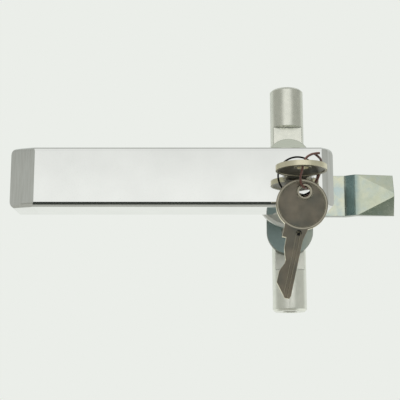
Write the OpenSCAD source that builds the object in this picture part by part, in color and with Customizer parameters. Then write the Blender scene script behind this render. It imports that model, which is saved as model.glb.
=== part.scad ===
// Locking L-handle with a key lock, a three-point cam and two rod connectors.
// X runs along the handle, +Y goes into the door, Z is up. The origin lies on the
// turning axis, in the outer face of the door.

/* [Handle] */
// Turning axis to the free end of the grip
grip_reach = 125; // [90:1:180]
// Turning axis to the short end
short_reach = 16; // [15:0.5:30]
// Width of the bar
handle_w = 26.5; // [24:0.5:34]
// Depth of the bar, front face to back
handle_d = 21.5; // [18:0.5:24]
// Front face to the door
face_height = 36; // [36:0.5:48]
// Length of the bevel on the free end
free_bevel_l = 11; // [5:0.5:18]
// Drop of the bevel on the free end
free_bevel_d = 4.5; // [2:0.25:8]
// Length of the bevel on the short end
short_bevel_l = 5.5; // [2:0.25:7]
// Drop of the bevel on the short end
short_bevel_d = 5.5; // [2:0.25:8]
// Radius along the front edges
edge_r = 2; // [0.5:0.1:2.5]
// Radius of the corners at the ends
corner_r = 3; // [1:0.25:4]
// Wall of the hollow casting
wall = 3; // [2:0.25:3.5]
// Thickness of the ribs in the back
rib = 2; // [1:0.25:3]
// Number of ribbed pockets along the back
pocket_count = 7; // [4:1:9]

/* [Neck] */
// Radius of the neck behind the bar
neck_r = 11.4; // [11:0.1:11.9]
// Radius of the journal that turns in the flange
journal_r = 10; // [9.8:0.1:10.5]
// Side of the square end that drives the cam
square_side = 12; // [10:0.25:13]

/* [Flange] */
// Radius of the flange on the door
flange_r = 17; // [16:0.25:24]
// Thickness of the flange
flange_t = 4.2; // [3.8:0.1:5]
// Thickness of the gasket
gasket_t = 0.8; // [0.5:0.1:1.2]
// Wall of the threaded barrel round the journal
barrel_wall = 2; // [1.5:0.1:2.5]
// Thickness of the door sheet that is clamped
door_t = 1.5; // [1:0.1:3]
// Thickness of the toothed washer
washer_t = 0.7; // [0.5:0.1:1]
// Thickness of the ring nut
nut_t = 3; // [2:0.1:4]
// Radial width of the ring nut
nut_w = 3.5; // [2.5:0.1:5]

/* [Cam] */
// Thickness of the cam plate
cam_t = 3.5; // [2.5:0.1:5]
// Turning axis to each rod pivot
pivot_reach = 17; // [16.8:0.1:24]
// Radius of the round lobes
lobe_r = 10.8; // [9:0.1:13]
// Width of the tongue
tongue_w = 19.4; // [14:0.1:19.8]
// Turning axis to the first bend of the tongue
bend_reach = 26; // [22:0.5:36]
// Length of the slanted part between the bends
riser_l = 4.7; // [3:0.1:8]
// How far the tip is cranked towards the front
crank = 3; // [0.5:0.1:4]
// Turning axis to the end of the tongue
tongue_reach = 49; // [46:0.5:80]
// Depth of the lead-in bevels at the end of the tongue
lead_in = 2.6; // [1:0.1:3]

/* [Rods] */
// Diameter of the rod connectors
rod_d = 16; // [14:0.5:16.5]
// Rod pivot to the outer end
rod_l = 37; // [34:0.5:90]
// Rod pivot to the end of the milled flat
flat_l = 17.7; // [13:0.1:19]
// Depth of the milled flat
flat_depth = 3.7; // [3:0.1:4.5]
// Radius of the pivot pins
pin_r = 4; // [3:0.1:4.5]
// Radius of the tapped hole in the rod end
tap_r = 3.4; // [2.5:0.1:5]
// Depth of the tapped hole in the rod end
tap_l = 15; // [8:0.5:16]

/* [Lock] */
// Radius of the lock sleeve
sleeve_r = 8.3; // [8:0.05:8.6]
// Length of the lock sleeve
sleeve_l = 23; // [20:0.5:23]
// Radius of the turning core
plug_r = 6; // [5.9:0.05:6.2]
// Depth of the core's face below the handle's face
plug_recess = 0.8; // [0.2:0.1:1]
// Number of wafers
wafer_count = 5; // [3:1:5]
// Off-centre distance of the driving pin
throw_r = 2.4; // [2:0.1:2.5]
// Radius of the driving pin
throw_pin_r = 1.3; // [1:0.05:1.4]
// Width of the locking bolt
bolt_w = 5; // [4.4:0.1:5.4]
// Thickness of the locking bolt
bolt_t = 2.4; // [1.8:0.1:2.5]

/* [Keys] */
// Radius of the round key bow
bow_r = 10.75; // [9.5:0.25:11.5]
// Thickness of the key
key_t = 2.2; // [1.8:0.1:2.3]
// Centre of the bow to the tip of the blade
key_reach = 39.6; // [36:0.1:40]
// Centre of the bow to the shoulder
shoulder_reach = 15; // [14:0.1:17]
// Width of the blade
blade_w = 6.9; // [6:0.1:7]
// Radius of the hole in the bow
bow_hole_r = 2.4; // [2.2:0.1:2.8]
// Centre of the bow to its hole
bow_hole_up = 5.6; // [5.2:0.1:6]
// Lean of the hanging key
hang_lean = 13; // [10:1:16]
// Diameter of the tie wire
wire_d = 1; // [0.6:0.1:1.2]

/* [Hidden] */
$fn = 64;

// Clearances, and the overshoot of cuts
run_gap = 0.05;
slide_gap = 0.1;
loose_gap = 0.3;
press_gap = 0.02;
cut = 1;

// Places along the turning axis, front to back
face_y = -face_height;
back_y = face_y + handle_d;
flange_back_y = -gasket_t;
flange_front_y = flange_back_y - flange_t;
thrust_t = 0.8;
shoulder_y = flange_front_y - thrust_t - 2 * slide_gap;
nut_y = door_t + washer_t;
barrel_end_y = nut_y + nut_t + 0.2;
cam_play = 0.6;
cam_y = barrel_end_y + cam_play;
cam_back_y = cam_y + cam_t;
square_end_y = cam_back_y - 0.2;

// Handle
EDGE_STEPS = 5;
CROWN = 0.4;
side_draft = 0.4;
end_lean = 0.5;
FIRST_TRIM = 0.9;
SECOND_TRIM = 0.8;
trim_room = 0.05;
trim_flare = 6;

// Flange, washers and nut
barrel_r = journal_r + run_gap + barrel_wall;
barrel_flat = 0.8;
flange_edge = 1;
nut_slot = 4;
tooth_count = 12;
tooth_gap = 2;

// Lock
sleeve_mouth = 1.4;
mouth_gap = 0.5;
clip_t = 0.6;
clip_y = face_y + sleeve_l + loose_gap;
clip_floor_y = clip_y + clip_t + 0.2;
clip_r = plug_r + 1.6;
clip_groove_r = plug_r - 0.8;
clip_slot = 6;
tail_room = 3.5;
plug_end_y = flange_front_y - tail_room;
tail_bore_r = plug_r + 0.9;
drive_slot_w = 3;
drive_slot_d = 1.4;
keyway_floor = 1.1;
keyway_end_y = plug_end_y - drive_slot_d - keyway_floor;
key_gap = 0.2;
// The key goes in until its shoulder meets the face or its tip the end of the keyway
blade_depth = keyway_end_y - 2 * key_gap - face_y;
bow_standoff = max(shoulder_reach, key_reach - blade_depth);
driver_y = plug_end_y + slide_gap;
driver_t = 2.2;
bolt_y = flange_back_y - 0.8 - bolt_t;
tail_end_y = bolt_y - 0.9;
bolt_out_x = journal_r - 0.5;
bolt_in_x = -6.5;
throw_x = throw_r / sqrt(2);
throw_slack = 0.25;
pocket_reach = bolt_out_x + 2 * throw_x + 2 * loose_gap;
wafer_side = 1.6;
wafer_top = 2.8;
wafer_w = 2 * (plug_r - wafer_side);
wafer_h = 2 * (plug_r - wafer_top);
wafer_t = 1;
wafer_pitch = 3.6;
wafer_start = 3.5;
set_screw_r = 2;
set_screw_in = 11;
set_screw_y = face_y + set_screw_in;
set_dimple = 0.6;

// Cam screw and washer
screw_r = 3;
screw_l = 8;
screw_head_r = 5.8;
screw_head_t = 4;
cam_washer_t = 1.6;
cam_washer_r = pivot_reach - rod_d / 2 - 1;

// Rods and pins
flat_y = cam_back_y + loose_gap;
rod_r = rod_d / 2;
rod_axis_y = flat_y + rod_r - flat_depth;
rod_chamfer = 1;
spot_rise = 5;
spot_y = rod_axis_y + spot_rise;
spot_r = pin_r + 2.3;
pin_clip_t = 0.8;
pin_groove_r = pin_r - 0.7;
pin_end_y = spot_y + 1.8;

// Keys
rim_w = 1.2;
rim_h = 0.25;
lip_w = 1.1;
shoulder_w = 5.2;
groove_w = 1.5;
groove_d = 0.5;
tip_w = 1.9;
tip_l = 5.6;
spare_standoff = 14;
spare_drop = 15.3;
spare_y = face_y - spare_standoff;
inserted_y = face_y - bow_standoff;
// Cuts on the bitted edge: share of the way from shoulder to tip, and depth
BITTING = [[0, 0], [0.18, 0.1], [0.3, 1], [0.38, 1.7], [0.44, 1.5], [0.52, 0.6], [0.59, 0]];

// Route of the tie wire: through the inserted key's hole, down the front of the
// spare key, back through its hole and up behind the bow, to end beside its start
WIRE = [
  [7.6, -51.9, 6.3], [6, -52.7, 6], [3.8, -54.8, 5], [1.5, -57.2, 3],
  [0.2, -58, 0], [-0.4, -57.5, -2.4], [-0.9, -55.2, -5], [-0.3, -53.2, -7.2],
  [0.8, -51.7, -8.2], [1.5, -50, -8.2], [2.3, -48.2, -8.2], [4.6, -46.2, -6.8],
  [7, -43.6, -4], [8.4, -42.2, -1], [9.4, -43.2, 2.2], [8.8, -46.6, 4.6],
  [7.4, -49.4, 5.4], [5.8, -50.6, 6.3]
];
WIRE_STEPS = 4;
WIRE_SIDES = 8;

// Turns a shape that stands on Z so that it stands on +Y, starting at depth y0
module at_depth(y0) {
  translate([0, y0, 0]) rotate([-90, 0, 0]) children();
}

// Turned ring along the turning axis
module ring(y0, t, r_out, r_in) {
  at_depth(y0) difference() {
    cylinder(h = t, r = r_out);
    translate([0, 0, -cut]) cylinder(h = t + 2 * cut, r = r_in);
  }
}

function reversed(list) = [for (i = [len(list) - 1:-1:0]) list[i]];

// Rounded front edge of a cross section: depth across, height up
function front_edge(side, half_w, radius) = [
  for (i = [0:EDGE_STEPS]) let (a = 90 * i / EDGE_STEPS)
    [radius * (1 - cos(a)), side * (half_w - radius * (1 - sin(a)))]
];

// Long bar with rounded front edges, whose front plane passes through x0, y0 and is
// turned by angle; its sides draw in by draft over its depth
module rounded_bar(x0, y0, angle, depth, draft, half_w, radius) {
  back = half_w - draft;
  section = concat(
    front_edge(1, half_w, radius), [[depth, back], [depth, -back]], reversed(front_edge(-1, half_w, radius))
  );
  translate([x0, y0, 0]) rotate([0, 0, angle]) translate([-2 * grip_reach, 0, 0])
    rotate([90, 0, 90]) linear_extrude(4 * grip_reach) polygon(section);
}

// Bar that trims an end; its sides widen to the back, clear of the sides of the handle.
// Each trim is a little wider than the one before it
module end_trim(side, reach, drop, angle, order, radius) {
  half_w = handle_w / 2 + order * trim_room;
  rounded_bar(side * reach, face_y + drop, side * angle, 2 * grip_reach, -trim_flare, half_w, radius);
}

// Crowned bevel of two slopes, and an end face that leans in to the back
module end_trims(side, reach, bevel_l, bevel_d) {
  half = bevel_l / 2;
  crown_d = CROWN * bevel_d;
  intersection() {
    end_trim(side, reach - bevel_l, 0, atan2(crown_d, half), 1, FIRST_TRIM * edge_r);
    end_trim(side, reach - half, crown_d, atan2(bevel_d - crown_d, half), 2, SECOND_TRIM * edge_r);
    end_trim(side, reach, bevel_d, 90 + atan2(end_lean, handle_d - bevel_d), 3, corner_r);
  }
}

module handle_bar() {
  intersection() {
    rounded_bar(0, face_y, 0, handle_d, side_draft, handle_w / 2, edge_r);
    end_trims(-1, grip_reach, free_bevel_l, free_bevel_d);
    end_trims(1, short_reach, short_bevel_l, short_bevel_d);
  }
}

// Two rows of pockets between the ribs in the back of the grip
module back_pockets() {
  first_x = wall + free_bevel_l / 2 - grip_reach;
  last_x = -neck_r - wall;
  pitch = (last_x - first_x + rib) / pocket_count;
  height = (handle_w - 2 * wall - rib) / 2;
  depth = handle_d - wall - edge_r;
  for (i = [0:pocket_count - 1], z = [rib / 2, -rib / 2 - height])
    translate([first_x + i * pitch, back_y - depth, z]) cube([pitch - rib, depth + cut, height]);
}

module lock_bores() {
  at_depth(face_y - cut) cylinder(h = cut + sleeve_mouth, r = sleeve_r + mouth_gap);
  at_depth(face_y) cylinder(h = clip_floor_y - face_y, r = sleeve_r + press_gap);
  at_depth(clip_floor_y - cut) cylinder(h = tail_end_y - clip_floor_y + cut, r = tail_bore_r);
  at_depth(tail_end_y - cut)
    cylinder(h = bolt_y + bolt_t + slide_gap - tail_end_y + cut, r = throw_r + throw_pin_r + loose_gap);
  translate([bolt_in_x - 2 * loose_gap, bolt_y - slide_gap, -bolt_w / 2 - slide_gap])
    cube([2 * journal_r, bolt_t + 2 * slide_gap, bolt_w + 2 * slide_gap]);
  translate([0, set_screw_y, -handle_w]) cylinder(h = handle_w, r = set_screw_r + press_gap);
}

module handle_casting() {
  color("gainsboro") difference() {
    union() {
      handle_bar();
      at_depth(back_y - cut) cylinder(h = shoulder_y - back_y + cut, r = neck_r);
      at_depth(shoulder_y - cut) cylinder(h = cam_y - shoulder_y + cut, r = journal_r);
      translate([-square_side / 2, cam_y - cut, -square_side / 2])
        cube([square_side, square_end_y - cam_y + cut, square_side]);
    }
    back_pockets();
    lock_bores();
    at_depth(square_end_y - screw_l) cylinder(h = screw_l + cut, r = screw_r + press_gap);
  }
}

module bearing_flange() {
  color("lightgray") difference() {
    union() {
      at_depth(flange_front_y) cylinder(h = flange_edge, r1 = flange_r - flange_edge, r2 = flange_r);
      at_depth(flange_front_y + flange_edge) cylinder(h = flange_t - flange_edge, r = flange_r);
      intersection() {
        at_depth(flange_back_y - cut) cylinder(h = barrel_end_y - flange_back_y + cut, r = barrel_r);
        translate([-barrel_r, flange_back_y - cut, barrel_flat - barrel_r])
          cube([2 * barrel_r, barrel_end_y - flange_back_y + cut, 2 * (barrel_r - barrel_flat)]);
      }
    }
    at_depth(flange_front_y - cut)
      cylinder(h = barrel_end_y - flange_front_y + 2 * cut, r = journal_r + run_gap);
    for (a = [0:90:270])
      rotate([0, a, 0]) translate([0, bolt_y - slide_gap, -bolt_w / 2 - loose_gap])
        cube([pocket_reach, bolt_t + 2 * slide_gap, bolt_w + 2 * loose_gap]);
  }
}

module door_gasket() {
  color("#2b2b2b") ring(flange_back_y, gasket_t, flange_r - 0.6, barrel_r + slide_gap);
}

module lock_washer() {
  r_out = barrel_r + nut_w - 0.3;
  color("silver") difference() {
    ring(door_t, washer_t, r_out, barrel_r + slide_gap);
    for (i = [0:tooth_count - 1])
      rotate([0, i * 360 / tooth_count, 0]) translate([r_out - 1.2, door_t - cut, -tooth_gap / 2])
        cube([2, washer_t + 2 * cut, tooth_gap]);
  }
}

module ring_nut() {
  color("silver") difference() {
    ring(nut_y, nut_t, barrel_r + nut_w, barrel_r + press_gap);
    for (a = [45:90:315])
      rotate([0, a, 0]) translate([barrel_r + nut_w - 1.6, nut_y - cut, -nut_slot / 2])
        cube([3, nut_t + 2 * cut, nut_slot]);
  }
}

module thrust_washer() {
  color("ivory") ring(shoulder_y + slide_gap, thrust_t, neck_r + 1.4, journal_r + slide_gap);
}

module lock_sleeve() {
  dish = 0.6;
  color("whitesmoke") difference() {
    ring(face_y, sleeve_l, sleeve_r, plug_r + run_gap);
    at_depth(face_y - cut) cylinder(h = plug_recess + cut, r = plug_r + run_gap + dish);
    translate([0, set_screw_y, -sleeve_r - cut]) cylinder(h = cut + set_dimple, r = set_screw_r + slide_gap);
  }
}

module sleeve_screw() {
  top_z = -sleeve_r + set_dimple - slide_gap;
  low_z = -handle_w / 2 + 0.6;
  color("dimgray") translate([0, set_screw_y, low_z]) difference() {
    cylinder(h = top_z - low_z, r = set_screw_r);
    translate([0, 0, -cut]) cylinder(h = cut + 1.6, r = 1.15, $fn = 6);
  }
}

// Thin gates in the core, each with a window for the blade
module wafer_row(extra) {
  w = wafer_w + 2 * extra;
  h = wafer_h + 2 * extra;
  t = wafer_t + 2 * extra;
  for (i = [0:wafer_count - 1])
    translate([-w / 2, face_y + wafer_start + i * wafer_pitch - extra, -h / 2]) cube([w, t, h]);
}

module keyway(gap) {
  translate([-blade_w / 2 - gap, face_y - cut, -key_t / 2 - gap])
    cube([blade_w + 2 * gap, keyway_end_y - face_y + cut, key_t + 2 * gap]);
}

module lock_plug() {
  color("darkgray") difference() {
    at_depth(face_y + plug_recess) cylinder(h = plug_end_y - face_y - plug_recess, r = plug_r);
    keyway(key_gap);
    wafer_row(slide_gap);
    ring(clip_y - slide_gap, clip_t + 2 * slide_gap, clip_r, clip_groove_r);
    translate([-plug_r - cut, plug_end_y - drive_slot_d, -drive_slot_w / 2])
      cube([2 * (plug_r + cut), drive_slot_d + cut, drive_slot_w]);
  }
}

module lock_wafers() {
  color("goldenrod") difference() {
    wafer_row(0);
    keyway(key_gap + slide_gap);
  }
}

module plug_clip() {
  color("gray") difference() {
    ring(clip_y, clip_t, clip_r, clip_groove_r + slide_gap);
    translate([-clip_slot / 2, clip_y - cut, 0]) cube([clip_slot, clip_t + 2 * cut, clip_r + cut]);
  }
}

// Disc on the tail of the core with the off-centre pin that moves the bolt
module lock_driver() {
  rib_w = drive_slot_w - 2 * slide_gap;
  color("gray") {
    at_depth(driver_y) cylinder(h = driver_t, r = plug_r + loose_gap);
    translate([slide_gap - plug_r, driver_y - drive_slot_d + slide_gap, -rib_w / 2])
      cube([2 * (plug_r - slide_gap), drive_slot_d, rib_w]);
    translate([-throw_x, 0, throw_x]) at_depth(driver_y + driver_t - cut)
      cylinder(h = bolt_y + bolt_t - 0.2 - driver_y - driver_t + cut, r = throw_pin_r);
  }
}

module locking_bolt() {
  notch = 2 * (throw_pin_r + throw_slack);
  color("slategray") difference() {
    translate([bolt_in_x, bolt_y, -bolt_w / 2]) cube([bolt_out_x - bolt_in_x, bolt_t, bolt_w]);
    translate([-throw_x - notch / 2, bolt_y - cut, throw_x - throw_pin_r - loose_gap])
      cube([notch, bolt_t + 2 * cut, bolt_w]);
  }
}

// Half space in front of the sloping lead-in face on one side of the tongue
module lead_in_cut(side) {
  root = [bend_reach + riser_l + 1, cam_y - crank, side * tongue_w / 2];
  tip = [tongue_reach, cam_y - crank, side * 0.8];
  corner = [tongue_reach, cam_y - crank + lead_in, side * tongue_w / 2];
  normal = side * cross(tip - root, corner - root);
  unit = normal / norm(normal);
  size = 4 * tongue_reach;
  translate(root) rotate(a = acos(unit[2]), v = cross([0, 0, 1], unit))
    translate([-size / 2, -size / 2, 0]) cube([size, size, tongue_reach]);
}

// Flat arm, slanted riser and cranked tip, seen from above
module tongue_side() {
  bend_x = bend_reach;
  tip_x = bend_reach + riser_l;
  shift = cam_t * (sqrt(riser_l * riser_l + crank * crank) - riser_l) / crank;
  polygon([
    [0, cam_y], [bend_x, cam_y], [tip_x, cam_y - crank], [tongue_reach, cam_y - crank],
    [tongue_reach, cam_back_y - crank], [tip_x + shift, cam_back_y - crank],
    [bend_x + shift, cam_back_y], [0, cam_back_y]
  ]);
}

module cam_plate() {
  hole = square_side + 2 * slide_gap;
  color("lightsteelblue") difference() {
    union() {
      for (side = [1, -1])
        translate([0, 0, side * pivot_reach]) at_depth(cam_y) cylinder(h = cam_t, r = lobe_r);
      translate([-lobe_r, cam_y, -pivot_reach]) cube([2 * lobe_r, cam_t, 2 * pivot_reach]);
      difference() {
        translate([0, 0, -tongue_w / 2]) linear_extrude(tongue_w) tongue_side();
        lead_in_cut(1);
        lead_in_cut(-1);
      }
    }
    translate([-hole / 2, cam_y - cut, -hole / 2]) cube([hole, cam_t + 2 * cut, hole]);
    for (side = [1, -1])
      translate([0, 0, side * pivot_reach]) at_depth(cam_y - cut)
        cylinder(h = cam_t + 2 * cut, r = pin_r + press_gap);
  }
}

module cam_washer() {
  color("silver") ring(cam_back_y, cam_washer_t, cam_washer_r, screw_r + slide_gap);
}

module cam_screw() {
  head_y = cam_back_y + cam_washer_t;
  color("silver") {
    at_depth(head_y) cylinder(h = screw_head_t, r = screw_head_r, $fn = 6);
    at_depth(square_end_y - screw_l + 0.5) cylinder(h = head_y - square_end_y + screw_l, r = screw_r);
  }
}

module pivot_pin(side) {
  color("lightslategray") translate([0, 0, side * pivot_reach]) difference() {
    at_depth(cam_y) cylinder(h = pin_end_y - cam_y, r = pin_r);
    ring(spot_y + slide_gap, pin_clip_t + slide_gap, pin_r + cut, pin_groove_r);
  }
}

module upper_pin() {
  pivot_pin(1);
}

module lower_pin() {
  pivot_pin(-1);
}

module pin_clips() {
  r_out = spot_r - 0.6;
  color("dimgray") for (side = [1, -1])
    translate([0, 0, side * pivot_reach]) difference() {
      ring(spot_y + 1.5 * slide_gap, pin_clip_t, r_out, pin_groove_r + press_gap);
      translate([0, spot_y - cut, -1.5 * pin_groove_r / 2])
        cube([r_out + cut, pin_clip_t + 3 * cut, 1.5 * pin_groove_r]);
    }
}

// Rod connector with its pivot at the origin, reaching up
module rod_connector() {
  difference() {
    intersection() {
      translate([0, rod_axis_y, -rod_r]) {
        cylinder(h = rod_l + rod_r - rod_chamfer, r = rod_r);
        translate([0, 0, rod_l + rod_r - rod_chamfer])
          cylinder(h = rod_chamfer, r1 = rod_r, r2 = rod_r - rod_chamfer);
      }
      union() {
        at_depth(0) cylinder(h = 3 * rod_d, r = rod_r);
        translate([-rod_d, 0, 0]) cube([2 * rod_d, 3 * rod_d, rod_l + cut]);
      }
    }
    translate([-rod_d, flat_y - rod_d, -rod_d]) cube([2 * rod_d, rod_d, rod_d + flat_l]);
    at_depth(0) cylinder(h = 3 * rod_d, r = pin_r + run_gap);
    at_depth(spot_y) cylinder(h = rod_d, r = spot_r);
    translate([0, rod_axis_y, rod_l - tap_l]) cylinder(h = tap_l + cut, r = tap_r);
  }
}

module upper_rod() {
  color("darkkhaki") translate([0, 0, pivot_reach]) rod_connector();
}

module lower_rod() {
  color("darkkhaki") translate([0, 0, -pivot_reach]) rotate([0, 180, 0]) rod_connector();
}

// Blade with its shoulder and bitted edge, below the centre of the bow
module key_blade() {
  half = blade_w / 2;
  run = key_reach - shoulder_reach;
  polygon(concat(
    [[shoulder_w - 0.4, 2 - bow_r], [-shoulder_w, 2 - bow_r], [-shoulder_w, -shoulder_reach]],
    [for (b = BITTING) [b[1] - half, -shoulder_reach - b[0] * run]],
    [[-half, tip_l - key_reach], [half - 0.5 - tip_w, -key_reach], [half - 0.5, -key_reach]],
    [[half, 1.2 - key_reach], [half, -shoulder_reach]]
  ));
}

// Flat key: bow centre at the origin, blade down, thickness along Y
module key() {
  difference() {
    rotate([90, 0, 0]) translate([0, 0, -key_t / 2]) {
      cylinder(h = key_t, r = bow_r);
      linear_extrude(key_t) key_blade();
    }
    for (face = [-key_t / 2, key_t / 2 - rim_h])
      difference() {
        at_depth(face - (face < 0 ? cut : 0)) cylinder(h = rim_h + cut, r = bow_r - rim_w);
        translate([0, -key_t, bow_hole_up]) rotate([-90, 0, 0])
          cylinder(h = 2 * key_t, r = bow_hole_r + lip_w);
      }
    translate([0, -key_t, bow_hole_up]) rotate([-90, 0, 0]) cylinder(h = 2 * key_t, r = bow_hole_r);
    translate([blade_w / 2 - 2 * groove_w, groove_d - key_t / 2 - cut, -key_reach - cut])
      cube([groove_w, cut, key_reach + cut - bow_r - 1]);
    translate([-0.4, key_t / 2 - groove_d, -key_reach - cut])
      cube([groove_w, cut, key_reach + cut - bow_r - 1]);
  }
}

module inserted_key() {
  color("#8f8468") translate([0, inserted_y, 0]) rotate([90, 0, 0]) key();
}

module spare_key() {
  color("#6f695c") translate([0, spare_y, -spare_drop]) rotate([0, hang_lean, 0]) key();
}

// Smooth curve through four points, at share s between the middle two
function spline(a, b, c, d, s) =
  0.5 * (2 * b + (c - a) * s + (2 * a - 5 * b + 4 * c - d) * s * s + (3 * b - a - 3 * c + d) * s * s * s);

function clamp_at(list, i) = list[max(0, min(len(list) - 1, i))];

function wire_path() = concat(
  [for (i = [0:len(WIRE) - 2], k = [0:WIRE_STEPS - 1])
    spline(clamp_at(WIRE, i - 1), WIRE[i], WIRE[i + 1], clamp_at(WIRE, i + 2), k / WIRE_STEPS)],
  [WIRE[len(WIRE) - 1]]
);

function unit_of(v) = v / norm(v);

// Round tube swept along a list of points
module tube(path, r, sides) {
  last = len(path) - 1;
  along = [for (i = [0:last]) unit_of(clamp_at(path, i + 1) - clamp_at(path, i - 1))];
  start = unit_of(cross(along[0], [0, 0, 1]));
  across = [
    for (i = 0, n = start; i <= last;
      i = i + 1, n = i <= last ? unit_of(n - (n * along[i]) * along[i]) : n) n
  ];
  points = [
    for (i = [0:last], k = [0:sides - 1])
      let (a = 360 * k / sides)
        path[i] + r * (cos(a) * across[i] + sin(a) * cross(along[i], across[i]))
  ];
  polyhedron(points, concat(
    [[for (k = [sides - 1:-1:0]) k]],
    [for (i = [0:last - 1], k = [0:sides - 1])
      let (n = (k + 1) % sides)
        [i * sides + k, i * sides + n, (i + 1) * sides + n, (i + 1) * sides + k]],
    [[for (k = [0:sides - 1]) last * sides + k]]
  ));
}

module tie_wire() {
  color("#5a3a34") tube(wire_path(), wire_d / 2, WIRE_SIDES);
}

bearing_flange();
door_gasket();
lock_washer();
ring_nut();
handle_casting();
thrust_washer();
lock_sleeve();
sleeve_screw();
cam_plate();
cam_washer();
cam_screw();
upper_pin();
lower_pin();
pin_clips();
lock_plug();
lock_wafers();
plug_clip();
lock_driver();
locking_bolt();
inserted_key();
spare_key();
tie_wire();
upper_rod();
lower_rod();
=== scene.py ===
"""Looks of the locking L-handle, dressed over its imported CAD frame.

Metres, in the CAD's own frame: X along the handle, +Y into the door, Z up.
"""
import math

import bpy
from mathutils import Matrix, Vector


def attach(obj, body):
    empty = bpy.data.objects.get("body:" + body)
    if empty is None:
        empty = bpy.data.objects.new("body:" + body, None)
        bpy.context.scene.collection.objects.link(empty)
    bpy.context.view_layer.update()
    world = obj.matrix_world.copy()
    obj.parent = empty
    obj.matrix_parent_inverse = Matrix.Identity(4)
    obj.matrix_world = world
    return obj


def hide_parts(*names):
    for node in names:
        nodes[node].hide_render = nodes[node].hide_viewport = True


MM = 0.001
IMAGE_PX = 400

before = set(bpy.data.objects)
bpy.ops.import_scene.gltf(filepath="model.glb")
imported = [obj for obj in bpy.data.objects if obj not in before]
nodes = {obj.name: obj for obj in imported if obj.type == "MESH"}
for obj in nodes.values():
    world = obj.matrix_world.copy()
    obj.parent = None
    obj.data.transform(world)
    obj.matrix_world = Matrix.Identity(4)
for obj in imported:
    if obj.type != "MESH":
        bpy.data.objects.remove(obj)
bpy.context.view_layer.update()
scene = bpy.context.scene
scene.view_settings.view_transform = "Standard"

# Camera: a long lens, below the handle and left of the lock, tilted up
CAMERA_AT = (-0.0423, -0.4609, -0.0963)
CAMERA_TILT_DEG = 101.42
FOCAL_PX = 1008
SENSOR_MM = 36

# Room: white in front, grey to the sides and overhead, a paler grey behind the part.
# Each range is where one tone passes into the next, along an axis of the unit ball of
# directions or, overhead, by the angle from the front
BACKGROUND = (0.831, 0.855, 0.815)
ROOM_WHITE = (0.93, 0.94, 0.92)
ROOM_SIDE = (0.44, 0.45, 0.42)
ROOM_BACK = (0.72, 0.75, 0.72)
SIDE_RANGE = (0.32, 0.62)
BACK_RANGE = (0.25, 0.45)
OVERHEAD_RAD = (1.1, 1.4)
OVERHEAD_AS_SIDE = 0.62
UPPER_RANGE = (0.205, 0.26)
UPPER_LEVEL = 0.88

# Floor, the cards that only reflections show, and the lamp
FLOOR_Z = -0.32
FLOOR_SIZE = 6.0
FLOOR_COLOUR = (0.8, 0.81, 0.79)
FLOOR_CAMERA_SHARE = 0.6
UP = (0, 0, 1)
FLAG_BLACK = (0.05, 0.055, 0.05)
FLAG_DARK = (0.24, 0.275, 0.25)
FLAG_GREY = (0.5, 0.5, 0.47)
FLAG_PALE = (0.6, 0.6, 0.56)
LAMP_AT = (-0.3, -0.5, 0.9)
LAMP_SIZE = 0.8
LAMP_POWER = 6

# Route of the tie wire in millimetres, the same points as in the CAD source
WIRE_MM = [
    (7.6, -51.9, 6.3), (6, -52.7, 6), (3.8, -54.8, 5), (1.5, -57.2, 3),
    (0.2, -58, 0), (-0.4, -57.5, -2.4), (-0.9, -55.2, -5), (-0.3, -53.2, -7.2),
    (0.8, -51.7, -8.2), (1.5, -50, -8.2), (2.3, -48.2, -8.2), (4.6, -46.2, -6.8),
    (7, -43.6, -4), (8.4, -42.2, -1), (9.4, -43.2, 2.2), (8.8, -46.6, 4.6),
    (7.4, -49.4, 5.4), (5.8, -50.6, 6.3),
]
WIRE_DIAMETER = 1.0 * MM
WIRE_STEPS = 6
WIRE_ROUNDNESS = 4

# Sockets that the Mix node has for colours
MIX_FIRST = 6
MIX_SECOND = 7
MIX_RESULT = 2

# How the shaders read noise, gaps, faces and edges
NOISE_RANGE = (0.3, 0.7)
RECESS_RANGE = (0.35, 0.75)
RECESS_SAMPLES = 16
FLAT_RANGE = (0.6, 0.8)
EDGE_RANGE = (0.8, 0.98)
EDGE_SAMPLES = 6
SMEAR_SHARE = 0.4
DULL_ROUGHNESS = 0.4
BARE_METALLIC = 0.2

# Places on the pieces, in millimetres
TURNING_AXIS = (0, 0, 0)
ACROSS_Y = (1, 0, 1)
BORE_EDGE_R = (8.9, 9.0)
BORE_MOUTH_Y = (-34.5, -34.2)
SLEEVE_EDGE_R = 8.15
POCKETS_X = (-119, -12)
POCKETS_Y = -31.2
POCKETS_Z = (-10.4, 10.4)
FACE_X = (-114, 12)
STREAK_W = 0.7
STREAK_RUN = (1, 1, 0.06)
STREAK_RANGE = (0.4, 0.65)
STREAK_SHARE = 0.5
BEND_X = 26.3
BEND_SOFT = 1.6
BEND_FADE_X = (29.8, 33.4)
TIP_X = 32
TIP_SOFT = 3
TIP_PATCH = 6
TIP_SHARES = (0.3, 0.95)
TIP_CORNER = (49, 0, -9.7)
TIP_CORNER_R = (1, 9)
LOBE_Z = 12
LOBE_SOFT = 2
LOBE_SIDE_X = 5
LOBE_SIDE_SOFT = 7
BOW_LINE_R = (9.5, 9.8)
BOW_RIM_R = (9.95, 10.5)
HOLE_LINE_R = (3.4, 3.7)
HOLE_RIM_R = (1, 3.3)
RING_SOFT = 0.2
LOCK_KEY_BOW = (0, -51, 0)
LOCK_KEY_HOLE = (0, -56.6, 0)
HUNG_KEY_BOW = (0, -50, -15.3)
HUNG_KEY_HOLE = (1.26, -50, -9.84)
GROOVE_START = (-1.5, 0, -27.3)
GROOVE_SHADE_R = (1.0, 1.3)
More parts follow.
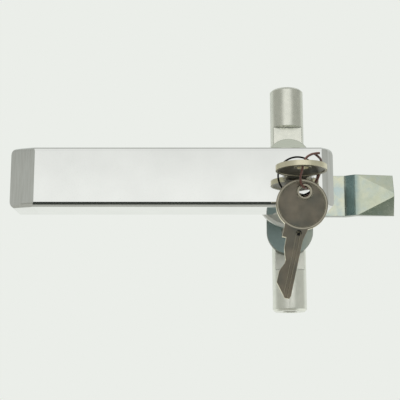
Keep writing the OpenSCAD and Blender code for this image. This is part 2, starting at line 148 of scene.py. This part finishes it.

# Tones that several materials or marks use
# Black for painted shade in gaps, recesses and dark lines
SHADE_BLACK = (0.015, 0.015, 0.014)
# Painted reflections on the cam: teal on the slanted bend; grey, bluish and pale tones on the lobes
BEND_REFLECTION_TEAL = (0.25, 0.36, 0.36)
LOWER_LOBE_REFLECTION = (0.43, 0.53, 0.53)
LOBE_SIDE_REFLECTION = (0.68, 0.73, 0.67)
UPPER_LOBE_REFLECTION = (0.53, 0.56, 0.48)
# Painted shade on the cam's tip, and a painted highlight on its lower corner
TIP_SHADE_GREY = (0.57, 0.62, 0.49)
TIP_HIGHLIGHT = (0.92, 0.92, 0.8)
# Painted shade on the cam's side faces and on the edges of the turned steel
PAINTED_EDGE_SHADE = (0.3, 0.32, 0.28)
BRUSHED = (0.7, 0.7, 0.67)
# Painted highlight on the rims of the keys
RIM_HIGHLIGHT = (0.42, 0.39, 0.31)
CASTING = (0.55, 0.55, 0.53)


def make_camera():
    data = bpy.data.cameras.new("photo_camera")
    data.sensor_width = SENSOR_MM
    data.lens = FOCAL_PX * SENSOR_MM / IMAGE_PX
    camera = bpy.data.objects.new("photo_camera", data)
    camera.location = CAMERA_AT
    camera.rotation_euler = (math.radians(CAMERA_TILT_DEG), 0, 0)
    scene.collection.objects.link(camera)
    scene.camera = camera


class NodeTree:
    """A node tree, with one short call per node."""

    def __init__(self, tree):
        self.nodes = tree.nodes
        self.links = tree.links

    def add(self, kind, **settings):
        node = self.nodes.new(kind)
        for key, value in settings.items():
            setattr(node, key, value)
        return node

    def link(self, source, target):
        self.links.new(source, target)

    def feed(self, value, socket):
        """Sets a number or a colour on a socket, or links another node's output to it."""
        if isinstance(value, (int, float)):
            socket.default_value = value
        elif isinstance(value, tuple):
            socket.default_value = (*value, 1)
        else:
            self.link(value, socket)

    def calc(self, operation, *values):
        node = self.add("ShaderNodeMath", operation=operation)
        for value, socket in zip(values, node.inputs):
            self.feed(value, socket)
        return node.outputs["Value"]

    def split(self, vector):
        node = self.add("ShaderNodeSeparateXYZ")
        self.link(vector, node.inputs["Vector"])
        return node.outputs

    def remap(self, value, low, high, start=NOISE_RANGE[0], end=NOISE_RANGE[1]):
        """Carries a value from the range start to end over to the range low to high."""
        node = self.add("ShaderNodeMapRange")
        for key, number in (("From Min", start), ("From Max", end), ("To Min", low), ("To Max", high)):
            node.inputs[key].default_value = number
        self.link(value, node.inputs["Value"])
        return node.outputs["Result"]

    def blend(self, factor, first, second):
        node = self.add("ShaderNodeMix", data_type="RGBA")
        self.link(factor, node.inputs["Factor"])
        self.feed(first, node.inputs[MIX_FIRST])
        self.feed(second, node.inputs[MIX_SECOND])
        return node.outputs[MIX_RESULT]

    def mix_shaders(self, factor, first, second):
        node = self.add("ShaderNodeMixShader")
        self.link(factor, node.inputs["Fac"])
        self.link(first, node.inputs[1])
        self.link(second, node.inputs[2])
        return node.outputs["Shader"]


class Shader(NodeTree):
    """A material's node tree, with the readings and masks that the finishes need."""

    def __init__(self, name):
        self.material = bpy.data.materials.new(name)
        self.material.use_nodes = True
        super().__init__(self.material.node_tree)
        self.bsdf = self.nodes["Principled BSDF"]

    def coords(self, kind):
        return self.add("ShaderNodeTexCoord").outputs[kind]

    def noise(self, size_mm, detail=3, stretch=(1, 1, 1)):
        """Noise with features of about size_mm, longer along an axis with a small stretch."""
        mapping = self.add("ShaderNodeMapping")
        mapping.inputs["Scale"].default_value = [s / (size_mm * MM) for s in stretch]
        self.link(self.coords("Object"), mapping.inputs["Vector"])
        node = self.add("ShaderNodeTexNoise")
        node.inputs["Scale"].default_value = 1
        node.inputs["Detail"].default_value = detail
        self.link(mapping.outputs["Vector"], node.inputs["Vector"])
        return node.outputs["Fac"]

    def soft_edges(self, radius_mm):
        """Normal of the surface as if its edges were rounded."""
        node = self.add("ShaderNodeBevel", samples=EDGE_SAMPLES)
        node.inputs["Radius"].default_value = radius_mm * MM
        return node.outputs["Normal"]

    def on_edges(self, soft_normal):
        """1 where the rounded normal departs from the true one, 0 on the faces."""
        geometry = self.add("ShaderNodeNewGeometry")
        facing = self.add("ShaderNodeVectorMath", operation="DOT_PRODUCT")
        self.link(soft_normal, facing.inputs[0])
        self.link(geometry.outputs["Normal"], facing.inputs[1])
        return self.remap(facing.outputs["Value"], 1, 0, *EDGE_RANGE)

    def recesses(self, reach_mm):
        """1 in tight gaps and corners, 0 in the open."""
        node = self.add("ShaderNodeAmbientOcclusion", samples=RECESS_SAMPLES)
        node.inputs["Distance"].default_value = reach_mm * MM
        return self.remap(node.outputs["AO"], 1, 0, *RECESS_RANGE)

    def flat_side(self, axis):
        """1 on the faces that look along an axis of the piece, 0 on its edges."""
        along = self.calc("ABSOLUTE", self.split(self.coords("Normal"))[axis])
        return self.remap(along, 0, 1, *FLAT_RANGE)

    def place(self, axis):
        """Where a point of the piece lies along an axis, in metres."""
        return self.split(self.coords("Object"))[axis]

    def distance(self, centre_mm, keep=(1, 1, 1)):
        """How far a point lies from a centre, in metres, counting only the axes in keep."""
        offset = self.add("ShaderNodeVectorMath", operation="SUBTRACT")
        offset.inputs[1].default_value = [c * MM for c in centre_mm]
        self.link(self.coords("Object"), offset.inputs[0])
        flat = self.add("ShaderNodeVectorMath", operation="MULTIPLY")
        flat.inputs[1].default_value = keep
        self.link(offset.outputs["Vector"], flat.inputs[0])
        length = self.add("ShaderNodeVectorMath", operation="LENGTH")
        self.link(flat.outputs["Vector"], length.inputs[0])
        return length.outputs["Value"]

    def past(self, value, limit_mm, soft_mm=0.1):
        """0 below a limit in millimetres, 1 above it."""
        return self.remap(value, 0, 1, (limit_mm - soft_mm / 2) * MM, (limit_mm + soft_mm / 2) * MM)

    def within(self, value, low_mm, high_mm, soft_mm=0.1):
        """1 between two limits in millimetres, 0 outside them."""
        return self.calc("SUBTRACT", self.past(value, low_mm, soft_mm), self.past(value, high_mm, soft_mm))

    def fade(self, value, start_mm, end_mm):
        """1 before a stretch in millimetres, 0 after it."""
        return self.remap(value, 1, 0, start_mm * MM, end_mm * MM)

    def both(self, first, second):
        return self.calc("MULTIPLY", first, second)

    def inverse(self, mask):
        return self.remap(mask, 1, 0, 0, 1)

    def bump(self, height, depth_mm, normal=None):
        node = self.add("ShaderNodeBump")
        node.inputs["Strength"].default_value = 1
        node.inputs["Distance"].default_value = depth_mm * MM
        self.link(height, node.inputs["Height"])
        if normal is not None:
            self.link(normal, node.inputs["Normal"])
        self.link(node.outputs["Normal"], self.bsdf.inputs["Normal"])


def metal(name, dark, light, rough, patch_mm=9, grain_mm=0.25, grain_depth=0.004,
          stretch=(1, 1, 1), edge_mm=0.3, edge_light_and_shade=None, kept_face_axis=None, marks=(), dull=None,
          bare=None, recess_shade=None, recess_shade_mm=1.0):
    """Metal with soft patches of tone and roughness, fine grain and rounded edges.

    With an axis given, the faces along it keep their colour and all other faces take the
    edge colour, which is also laid on all edges: a painted highlight where it is pale and
    painted shade where it is dark. The recess colour is painted shade laid in gaps and
    corners. Each mark is a mask made on the shader, and the colour that it lays on; dull is
    the mask of an unpolished part, and bare that of one with a casting's grey skin.
    """
    shader = Shader(name)
    shader.bsdf.inputs["Metallic"].default_value = 1
    patches = shader.noise(patch_mm, detail=4)
    colour = shader.blend(shader.remap(patches, 0, 1), dark, light)
    edges = shader.soft_edges(edge_mm) if edge_mm else None
    for mask, tone in marks:
        colour = shader.blend(mask(shader), colour, tone)
    # Painted light on the edges and, with an axis given, on the faces across it: highlight on the keys,
    # shade on the cam and the turned steel
    if edge_light_and_shade is not None:
        colour = shader.blend(shader.on_edges(edges), colour, edge_light_and_shade)
    if kept_face_axis is not None:
        colour = shader.blend(shader.flat_side(kept_face_axis), edge_light_and_shade, colour)
    # Painted shade: gaps and corners darken to the recess colour
    if recess_shade is not None:
        colour = shader.blend(shader.recesses(recess_shade_mm), colour, recess_shade)
    shader.link(colour, shader.bsdf.inputs["Base Color"])
    grain = shader.noise(grain_mm, detail=2, stretch=stretch)
    smears = shader.noise(SMEAR_SHARE * patch_mm, detail=5)
    roughness = shader.remap(smears, *rough)
    if dull is not None:
        roughness = shader.calc("MULTIPLY_ADD", dull(shader), DULL_ROUGHNESS, roughness)
    if bare is not None:
        metallic = shader.remap(bare(shader), 1, BARE_METALLIC, 0, 1)
        shader.link(metallic, shader.bsdf.inputs["Metallic"])
    shader.link(roughness, shader.bsdf.inputs["Roughness"])
    shader.bump(grain, grain_depth, edges)
    return shader.material


def plain(name, dark, light, rough, grain_mm=0.4, grain_depth=0.02):
    """Rubber, nylon or lacquer: no metal, with a fine uneven skin."""
    shader = Shader(name)
    grain = shader.noise(grain_mm, detail=4)
    shader.link(shader.blend(shader.remap(grain, 0, 1), dark, light), shader.bsdf.inputs["Base Color"])
    shader.link(shader.remap(shader.noise(3 * grain_mm), *rough), shader.bsdf.inputs["Roughness"])
    shader.bump(grain, grain_depth)
    return shader.material


def paint(material, *names):
    """Gives CAD nodes a material."""
    for name in names:
        mesh = nodes[name].data
        mesh.materials.clear()
        mesh.materials.append(material)


def spline_point(a, b, c, d, s):
    """Point at share s between b and c on a smooth curve through all four."""
    return 0.5 * (2 * b + (c - a) * s + (2 * a - 5 * b + 4 * c - d) * s ** 2
                  + (3 * b - a - 3 * c + d) * s ** 3)


def smooth_route(points, steps):
    """Smooth curve through the points, with the same number of steps between each two."""
    last = len(points) - 1

    def at(i):
        return points[max(0, min(last, i))]

    route = [spline_point(at(i - 1), at(i), at(i + 1), at(i + 2), k / steps)
             for i in range(last) for k in range(steps)]
    return route + [points[last]]


def make_wire(material):
    route = smooth_route([Vector(p) * MM for p in WIRE_MM], WIRE_STEPS)
    curve = bpy.data.curves.new("key_wire", "CURVE")
    curve.dimensions = "3D"
    curve.bevel_depth = WIRE_DIAMETER / 2
    curve.bevel_resolution = WIRE_ROUNDNESS
    curve.use_fill_caps = True
    line = curve.splines.new("POLY")
    line.points.add(len(route) - 1)
    for point, place in zip(line.points, route):
        point.co = (*place, 1)
    curve.materials.append(material)
    wire = bpy.data.objects.new("key_wire", curve)
    scene.collection.objects.link(wire)
    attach(wire, "hanging_key")
    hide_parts("tie_wire")


def make_world():
    """Pale room that lights the part; the camera sees the plain background instead."""
    world = bpy.data.worlds.new("studio")
    scene.world = world
    world.use_nodes = True
    world.node_tree.nodes.clear()
    tree = NodeTree(world.node_tree)
    axes = tree.split(tree.add("ShaderNodeTexCoord").outputs["Generated"])
    sideways = tree.calc("ABSOLUTE", axes["X"])
    forward = tree.calc("MULTIPLY", axes["Y"], -1)
    height = tree.calc("ARCTAN2", axes["Z"], forward)
    overhead = tree.remap(height, 0, OVERHEAD_AS_SIDE, *OVERHEAD_RAD)
    off_centre = tree.calc("MAXIMUM", sideways, overhead)
    front = tree.blend(tree.remap(off_centre, 0, 1, *SIDE_RANGE), ROOM_WHITE, ROOM_SIDE)
    room = tree.add("ShaderNodeBackground")
    tree.link(tree.blend(tree.remap(axes["Y"], 0, 1, *BACK_RANGE), front, ROOM_BACK), room.inputs["Color"])
    tree.link(tree.remap(axes["Z"], 1, UPPER_LEVEL, *UPPER_RANGE), room.inputs["Strength"])
    shown = tree.add("ShaderNodeBackground")
    shown.inputs["Color"].default_value = (*BACKGROUND, 1)
    rays = tree.add("ShaderNodeLightPath")
    surface = tree.mix_shaders(
        rays.outputs["Is Camera Ray"], room.outputs["Background"], shown.outputs["Background"])
    tree.link(surface, tree.add("ShaderNodeOutputWorld").inputs["Surface"])


def stage_card(name, centre, size, normal, colour):
    """Flat card of the studio, facing along normal."""
    mesh = bpy.data.meshes.new(name)
    x, y = size[0] / 2, size[1] / 2
    mesh.from_pydata([(-x, -y, 0), (x, -y, 0), (x, y, 0), (-x, y, 0)], [], [(0, 1, 2, 3)])
    card = bpy.data.objects.new(name, mesh)
    card.location = centre
    card.rotation_euler = Vector(normal).to_track_quat("Z", "Y").to_euler()
    scene.collection.objects.link(card)
    shader = Shader(name)
    shader.bsdf.inputs["Base Color"].default_value = (*colour, 1)
    shader.bsdf.inputs["Roughness"].default_value = 1
    mesh.materials.append(shader.material)
    return card


def show_pale(card, colour, camera_share):
    """Shows a card at its full paleness in polished metal, and by a share to the camera."""
    tree = NodeTree(card.data.materials[0].node_tree)
    glow = tree.add("ShaderNodeEmission")
    glow.inputs["Color"].default_value = (*colour, 1)
    rays = tree.add("ShaderNodeLightPath").outputs
    share = tree.calc("MULTIPLY_ADD", rays["Is Camera Ray"], camera_share, rays["Is Glossy Ray"])
    matt = tree.nodes["Principled BSDF"].outputs["BSDF"]
    surface = tree.mix_shaders(share, matt, glow.outputs["Emission"])
    tree.link(surface, tree.nodes["Material Output"].inputs["Surface"])


def mirror_flag(name, centre, size, normal, colour):
    """Card that only reflections show."""
    flag = stage_card(name, centre, size, normal, colour)
    flag.visible_camera = False
    flag.visible_diffuse = False
    flag.visible_shadow = False


def soft_lamp(name, place, size, power):
    """Square lamp aimed at the origin, which polished metal doesn't mirror."""
    data = bpy.data.lights.new(name, "AREA")
    data.size = size
    data.energy = power
    lamp = bpy.data.objects.new(name, data)
    lamp.location = place
    lamp.rotation_euler = (-Vector(place)).to_track_quat("-Z", "Y").to_euler()
    lamp.visible_glossy = False
    scene.collection.objects.link(lamp)


def make_studio():
    """Room, floor, lamp and flags: the black flags draw the dark line under the handle's face."""
    make_world()
    floor = stage_card("floor", (0, 0, FLOOR_Z), (FLOOR_SIZE, FLOOR_SIZE), UP, FLOOR_COLOUR)
    show_pale(floor, BACKGROUND, FLOOR_CAMERA_SHARE)
    mirror_flag("far_flag", (-0.07, -0.435, -0.06), (0.38, 0.04), (0, 1, 0), FLAG_BLACK)
    mirror_flag("near_flag", (-0.07, -0.284, -0.236), (0.38, 0.06), (0, 0.74, 0.67), FLAG_BLACK)
    mirror_flag("side_flag", (0.34, -0.435, -0.187), (0.42, 0.67), (0, 0.336, 0.942), FLAG_DARK)
    mirror_flag("left_flag", (-1.86, -1.4, -0.29), (2.28, 3.2), UP, FLAG_PALE)
    mirror_flag("grey_flag", (-0.3, -0.1, -0.29), (0.84, 0.56), UP, FLAG_GREY)
    soft_lamp("soft_top", LAMP_AT, LAMP_SIZE, LAMP_POWER)


def bore_mouth_shade(shader):
    """Painted shade in the joint round the lock: the mouth of the bore in the front face."""
    bore = shader.fade(shader.distance(TURNING_AXIS, ACROSS_Y), *BORE_EDGE_R)
    return shader.both(bore, shader.fade(shader.place("Y"), *BORE_MOUTH_Y))


def sleeve_wall(shader):
    """Outside of the lock sleeve, in the shade of its bore."""
    return shader.past(shader.distance(TURNING_AXIS, ACROSS_Y), SLEEVE_EDGE_R)


def cast_pockets(shader):
    """Ribbed hollow in the back of the grip, left as it was cast."""
    deep = shader.past(shader.place("Y"), POCKETS_Y)
    inside = shader.both(deep, shader.within(shader.place("Z"), *POCKETS_Z))
    return shader.both(inside, shader.within(shader.place("X"), *POCKETS_X))


def brushed_ends(shader):
    """Fine streaks that polishing left up and down the end bevels."""
    ends = shader.inverse(shader.within(shader.place("X"), *FACE_X))
    streaks = shader.noise(STREAK_W, stretch=STREAK_RUN)
    return shader.both(ends, shader.remap(streaks, 0, STREAK_SHARE, *STREAK_RANGE))


def bend_reflection(shader):
    """Slanted part of the tongue, laid teal as a painted reflection of the handle's dark underside."""
    start = shader.past(shader.place("X"), BEND_X, BEND_SOFT)
    return shader.both(start, shader.fade(shader.place("X"), *BEND_FADE_X))


def tip_shade_patches(shader):
    """Cranked end of the tongue, laid a darker grey in uneven patches as painted shade."""
    tip = shader.past(shader.place("X"), TIP_X, TIP_SOFT)
    return shader.both(tip, shader.remap(shader.noise(TIP_PATCH), *TIP_SHARES))


def tip_corner_highlight(shader):
    """Lower corner of the tongue's end, laid pale as a painted highlight."""
    return shader.fade(shader.distance(TIP_CORNER, ACROSS_Y), *TIP_CORNER_R)


# The lobes take painted reflections: a grey on the upper lobe, a darker bluish grey on the lower
def upper_lobe(shader):
    return shader.past(shader.place("Z"), LOBE_Z, LOBE_SOFT)


def lower_lobe(shader):
    return shader.inverse(shader.past(shader.place("Z"), -LOBE_Z, LOBE_SOFT))


def lobe_side(shader):
    """Side of the lower lobe below the tongue, laid paler as a painted reflection."""
    return shader.both(lower_lobe(shader), shader.past(shader.place("X"), LOBE_SIDE_X, LOBE_SIDE_SOFT))


def ring_mark(centre_mm, radii_mm):
    """Mask of a ring round a centre, between two radii."""
    return lambda shader: shader.within(shader.distance(centre_mm), *radii_mm, RING_SOFT)


def key_marks(bow_mm, hole_mm):
    """Painted highlights on the rims of the bow and its hole, each with a painted shade line beside it."""
    return [(ring_mark(bow_mm, BOW_LINE_R), SHADE_BLACK), (ring_mark(bow_mm, BOW_RIM_R), RIM_HIGHLIGHT),
            (ring_mark(hole_mm, HOLE_LINE_R), SHADE_BLACK), (ring_mark(hole_mm, HOLE_RIM_R), RIM_HIGHLIGHT)]


def groove_start_shade(shader):
    """Painted shade where the groove of the hanging key begins, below its bow."""
    return shader.fade(shader.distance(GROOVE_START, ACROSS_Y), *GROOVE_SHADE_R)


make_camera()
make_studio()

# Handle and lock: chrome plate, with a dark core; painted shade in their gaps and corners,
# in the joint round the lock and on the outside of the sleeve
chrome_look = dict(dark=(0.84, 0.85, 0.83), light=(0.9, 0.91, 0.89), rough=(0.03, 0.075),
                   patch_mm=18, grain_depth=0.0004, edge_mm=0, recess_shade=SHADE_BLACK, recess_shade_mm=2)
chrome = metal("chrome_plate", dull=cast_pockets, bare=cast_pockets,
               marks=[(brushed_ends, BRUSHED), (bore_mouth_shade, SHADE_BLACK), (cast_pockets, CASTING)],
               **chrome_look)
sleeve = metal("chrome_sleeve", marks=[(sleeve_wall, SHADE_BLACK)], **chrome_look)
core = metal("lock_core", (0.3, 0.3, 0.27), (0.42, 0.42, 0.38), (0.25, 0.4), recess_shade=SHADE_BLACK)
brass = metal("stamped_brass", (0.56, 0.42, 0.18), (0.7, 0.56, 0.28), (0.25, 0.4))
black_steel = metal("black_steel", (0.1, 0.1, 0.1), (0.18, 0.18, 0.17), (0.3, 0.5))
paint(chrome, "handle_casting")
paint(sleeve, "lock_sleeve")
paint(core, "lock_plug", "lock_driver")
paint(brass, "lock_wafers")
paint(black_steel, "sleeve_screw", "pin_clips", "plug_clip")

# Cam, nut and washers: zinc plate, bluish and yellowish in patches, with painted shade in corners;
# the cam also takes painted reflections on its lobes and bend, painted shade on its tip, sides
# and edges, and a painted highlight on its tip corner
zinc_look = dict(rough=(0.14, 0.28), patch_mm=5, grain_mm=0.4, grain_depth=0.005,
                 recess_shade=(0.12, 0.12, 0.1), recess_shade_mm=0.7)
zinc = metal("zinc_plate", (0.56, 0.63, 0.61), (0.8, 0.79, 0.65), **zinc_look)
cam_zinc = metal("zinc_cam", (0.55, 0.65, 0.64), (0.8, 0.78, 0.57),
                 marks=[(lower_lobe, LOWER_LOBE_REFLECTION), (lobe_side, LOBE_SIDE_REFLECTION), (upper_lobe, UPPER_LOBE_REFLECTION),
                        (tip_shade_patches, TIP_SHADE_GREY), (tip_corner_highlight, TIP_HIGHLIGHT), (bend_reflection, BEND_REFLECTION_TEAL)],
                 dull=lower_lobe, edge_light_and_shade=PAINTED_EDGE_SHADE, kept_face_axis="Y", **zinc_look)
paint(zinc, "lock_washer", "ring_nut", "cam_washer", "cam_screw")
paint(cam_zinc, "cam_plate")

# Rod connectors, pins and bolt: turned steel, with painted shade on its edges and in its corners;
# the lower rod takes a paler copy as painted light
turned_look = dict(patch_mm=3, grain_mm=0.8, grain_depth=0.001, stretch=(1, 1, 0.25), edge_mm=0.4,
                   edge_light_and_shade=PAINTED_EDGE_SHADE, recess_shade=(0.05, 0.055, 0.045), recess_shade_mm=1.6)
turned = metal("turned_steel", (0.79, 0.8, 0.72), (0.89, 0.89, 0.8), (0.25, 0.33), **turned_look)
# Paler copy of the same turned steel: painted light on the lower rod
turned_painted_light = metal("turned_steel_painted_light", (0.88, 0.89, 0.81), (0.96, 0.96, 0.88), (0.28, 0.36),
                    **turned_look)
paint(turned, "upper_rod", "upper_pin", "lower_pin", "locking_bolt")
paint(turned_painted_light, "lower_rod")

# Flange, gasket and thrust washer; the flange with painted shade in its corners
cast = metal("satin_casting", (0.74, 0.74, 0.7), (0.84, 0.84, 0.8), (0.42, 0.55), recess_shade=(0.1, 0.1, 0.09))
rubber = plain("black_rubber", (0.02, 0.02, 0.02), (0.045, 0.045, 0.045), (0.6, 0.8))
nylon = plain("nylon", (0.78, 0.77, 0.7), (0.86, 0.85, 0.8), (0.4, 0.55), grain_depth=0.005)
paint(cast, "bearing_flange")
paint(rubber, "door_gasket")
paint(nylon, "thrust_washer")

# Keys: dark handled nickel, with painted highlights on the edges, side faces and rims and painted
# shade in recesses and beside the rims, on a lacquered wire
key_look = dict(dark=(0.112, 0.115, 0.098), light=(0.23, 0.197, 0.15), rough=(0.28, 0.45),
                patch_mm=10, grain_mm=0.3, grain_depth=0.008, edge_mm=0.35,
                edge_light_and_shade=(0.9, 0.84, 0.64), recess_shade=SHADE_BLACK, recess_shade_mm=1.2)
lock_key = metal("nickel_painted_edge_light", kept_face_axis="Z", marks=key_marks(LOCK_KEY_BOW, LOCK_KEY_HOLE), **key_look)
hung_marks = key_marks(HUNG_KEY_BOW, HUNG_KEY_HOLE) + [(groove_start_shade, SHADE_BLACK)]
hung_key = metal("nickel_painted_edge_light_hung", kept_face_axis="Y", marks=hung_marks, **key_look)
lacquer = plain("brown_lacquer", (0.09, 0.035, 0.028), (0.2, 0.085, 0.065), (0.25, 0.4), 0.3, 0.01)
paint(lock_key, "inserted_key")
paint(hung_key, "spare_key")
make_wire(lacquer)
